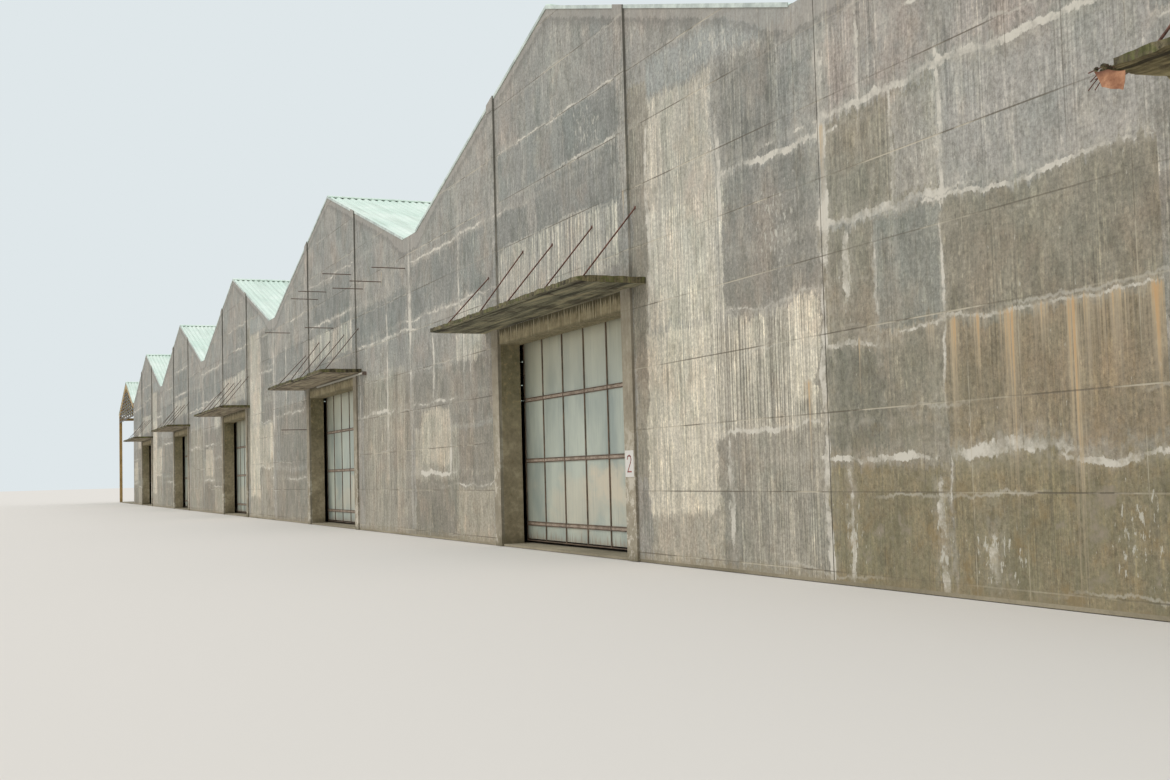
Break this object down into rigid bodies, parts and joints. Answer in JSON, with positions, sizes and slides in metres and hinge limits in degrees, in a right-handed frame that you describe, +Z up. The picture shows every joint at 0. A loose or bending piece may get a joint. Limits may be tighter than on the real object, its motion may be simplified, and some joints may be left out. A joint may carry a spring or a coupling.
{
  "type": "1:10 scale model of a concrete warehouse row",
  "caption": "One-tenth scale row of gabled concrete warehouse bays with hanging sliding doors, rod-hung canopies, metal roofs and an open louvred end bay.",
  "frame": {"origin": "middle of the building's plan, at ground level", "axes": "+X along the front wall towards the closed end, the open louvred bay at -X; the front wall faces -Y; +Z up"},
  "size_m": [14.12, 4.345, 1.1861],
  "materials": {
    "wall_concrete": "weathered board-marked concrete",
    "pilaster_concrete": "weathered concrete",
    "stained_concrete": "mossy stained concrete",
    "frame_concrete": "plain cast concrete",
    "floor_concrete": "worn floated concrete",
    "rusted_steel": "rusted",
    "roof_steel": "grey primer",
    "roof_paint": "pale green coated sheet",
    "flashing_paint": "whitish coated sheet",
    "ochre_paint": "ochre paint",
    "louvre_paint": "dark paint",
    "door_paint": "semi-gloss grey-blue sheet",
    "plate_paint": "white paint"
  },
  "bodies": {
    "building": {"floor_slab": "floor_concrete", "wall_left_panels": "wall_concrete", "wall_right_panels": "wall_concrete", "walls_over_doors": "wall_concrete", "door_lintels": "stained_concrete", "pilasters": "pilaster_concrete", "canopies": "stained_concrete", "canopy_rods": "rusted_steel", "wall_arms": "rusted_steel", "number_plate": "plate_paint", "rear_walls": "wall_concrete", "rear_pilasters": "pilaster_concrete", "end_wall": "wall_concrete", "party_wall": "wall_concrete", "valley_columns": "frame_concrete", "gutter_floors": "frame_concrete", "gutter_sides": "frame_concrete", "purlins": "roof_steel", "rafters_left": "roof_steel", "rafters_right": "roof_steel", "roof_sheets_left": "roof_paint", "roof_sheets_right": "roof_paint", "ridge_caps": "roof_paint", "rake_flashings": "flashing_paint", "end_bay_posts": "ochre_paint", "end_bay_beam": "ochre_paint", "end_rafters_left": "ochre_paint", "end_rafters_right": "ochre_paint", "louvre_blades": "louvre_paint", "louvre_uprights": "ochre_paint", "door_tracks": "rusted_steel"},
    "leaf_1": {"door_leaf_1": "door_paint"},
    "leaf_2": {"door_leaf_2": "door_paint"},
    "leaf_3": {"door_leaf_3": "door_paint"},
    "leaf_4": {"door_leaf_4": "door_paint"},
    "leaf_5": {"door_leaf_5": "door_paint"},
    "leaf_6": {"door_leaf_6": "door_paint"}
  },
  "joints": [
    {"name": "door_1_slide", "type": "slide", "parent": "building", "child": "leaf_1", "axis": [1, 0, 0], "range_m": [0, 0.63]},
    {"name": "door_2_slide", "type": "slide", "parent": "building", "child": "leaf_2", "axis": [1, 0, 0], "range_m": [0, 0.63]},
    {"name": "door_3_slide", "type": "slide", "parent": "building", "child": "leaf_3", "axis": [1, 0, 0], "range_m": [0, 0.63]},
    {"name": "door_4_slide", "type": "slide", "parent": "building", "child": "leaf_4", "axis": [1, 0, 0], "range_m": [0, 0.63]},
    {"name": "door_5_slide", "type": "slide", "parent": "building", "child": "leaf_5", "axis": [1, 0, 0], "range_m": [0, 0.63]},
    {"name": "door_6_slide", "type": "slide", "parent": "building", "child": "leaf_6", "axis": [1, 0, 0], "range_m": [0, 0.63]}
  ]
}
